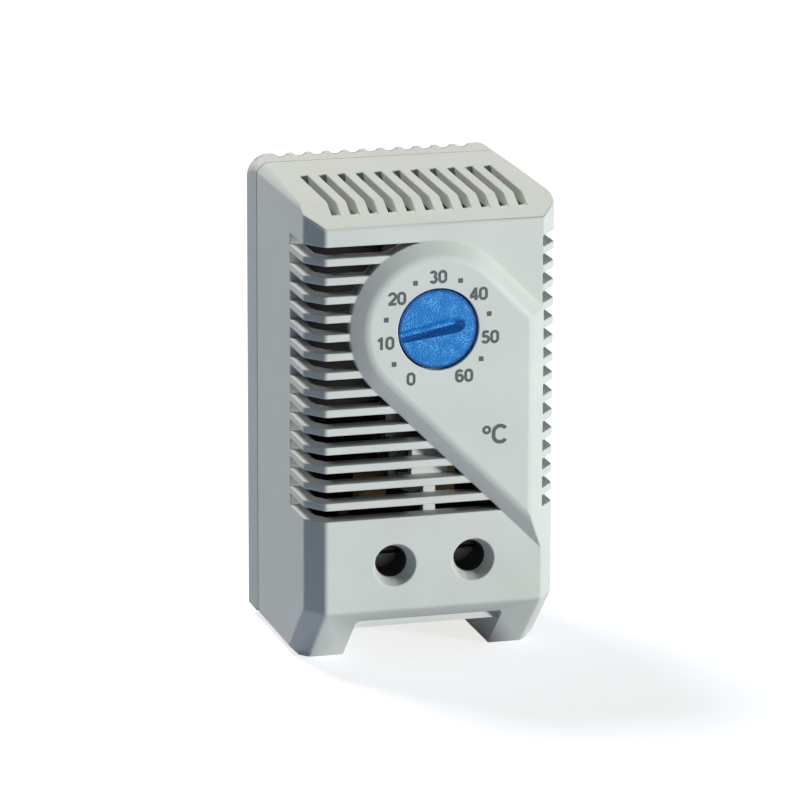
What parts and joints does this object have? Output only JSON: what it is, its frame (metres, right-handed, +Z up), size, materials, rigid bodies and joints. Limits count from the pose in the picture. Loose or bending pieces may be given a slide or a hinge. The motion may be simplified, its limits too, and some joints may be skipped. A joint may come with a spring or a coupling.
{
  "type": "bimetal thermostat",
  "caption": "Cabinet temperature switch: louvred grey housing with a blue setting dial on a drop-shaped plate, screw terminals below and a rail clip at the back.",
  "frame": {"origin": "on the ground under the middle of the part", "axes": "+X to the right seen from the front, +Y from the front to the rail, +Z up from the feet"},
  "size_m": [0.033, 0.041, 0.0608],
  "materials": {
    "housing": "light grey moulded plastic, finely matt",
    "base": "light grey moulded plastic, finely matt",
    "dial": "blue moulded plastic with a stippled face",
    "steel": "zinc-plated steel",
    "brass": "plain brass",
    "bronze": "spring bronze",
    "bimetal": "rolled bimetal strip",
    "silver": "silver contact",
    "insulator": "pale moulded insulator"
  },
  "bodies": {
    "case": {"front_housing": "housing", "rear_base": "base", "frame_bracket": "steel", "threaded_bush": "brass", "stack_screw": "steel", "stack_sleeve": "insulator", "front_insulator": "insulator", "middle_insulator": "insulator", "rear_insulator": "insulator", "bimetal_bar": "brass", "leaf_bar": "brass", "latch_spring": "steel"},
    "dial": {"setting_dial": "dial", "dial_clip": "steel"},
    "adjuster": {"adjusting_screw": "steel", "screw_tip": "insulator"},
    "leaf": {"contact_leaf": "bronze", "leaf_contact": "silver"},
    "bimetal": {"bimetal_strip": "bimetal", "bimetal_contact": "silver"},
    "latch": {"rail_latch": "base"},
    "left_screw": {"left_terminal_screw": "steel"},
    "right_screw": {"right_terminal_screw": "steel"},
    "left_cage": {"left_clamp_cage": "steel"},
    "right_cage": {"right_clamp_cage": "steel"}
  },
  "joints": [
    {"name": "dial_turn", "type": "hinge", "parent": "case", "child": "dial", "pos_m": [0, -0.019, 0.0442], "axis": [0, 1, 0], "range_deg": [-50, 250]},
    {"name": "adjuster_advance", "type": "slide", "parent": "dial", "child": "adjuster", "axis": [0, 1, 0], "range_m": [-0.00011111, 0.00055555]},
    {"name": "leaf_bend", "type": "hinge", "parent": "case", "child": "leaf", "pos_m": [0, -0.00335, 0.0242], "axis": [-1, 0, 0], "range_deg": [-0.34, 1.61]},
    {"name": "bimetal_bend", "type": "hinge", "parent": "case", "child": "bimetal", "pos_m": [0, -0.00575, 0.0242], "axis": [1, 0, 0], "range_deg": [0, 2], "stiffness_Nm_per_rad": 0.05},
    {"name": "latch_slide", "type": "slide", "parent": "case", "child": "latch", "axis": [0, 0, -1], "range_m": [0, 0.003], "stiffness_N_per_m": 1500, "springref_m": -0.003, "deforming": ["latch_spring"]},
    {"name": "left_screw_turn", "type": "hinge", "parent": "case", "child": "left_screw", "pos_m": [-0.0051, -0.0075, 0.0138], "axis": [0, 1, 0], "range_deg": [0, 1260]},
    {"name": "left_cage_slide", "type": "slide", "parent": "case", "child": "left_cage", "axis": [0, -1, 0], "range_m": [0, 0.0021]},
    {"name": "right_screw_turn", "type": "hinge", "parent": "case", "child": "right_screw", "pos_m": [0.0051, -0.0075, 0.0138], "axis": [0, 1, 0], "range_deg": [0, 1260]},
    {"name": "right_cage_slide", "type": "slide", "parent": "case", "child": "right_cage", "axis": [0, -1, 0], "range_m": [0, 0.0021]}
  ],
  "couplings": [
    {"joint": "dial_turn", "follows": "adjuster_advance", "rad_per_m": 7854},
    {"joint": "leaf_bend", "follows": "adjuster_advance", "rad_per_m": 50},
    {"joint": "left_screw_turn", "follows": "left_cage_slide", "rad_per_m": 10472},
    {"joint": "right_screw_turn", "follows": "right_cage_slide", "rad_per_m": 10472}
  ]
}
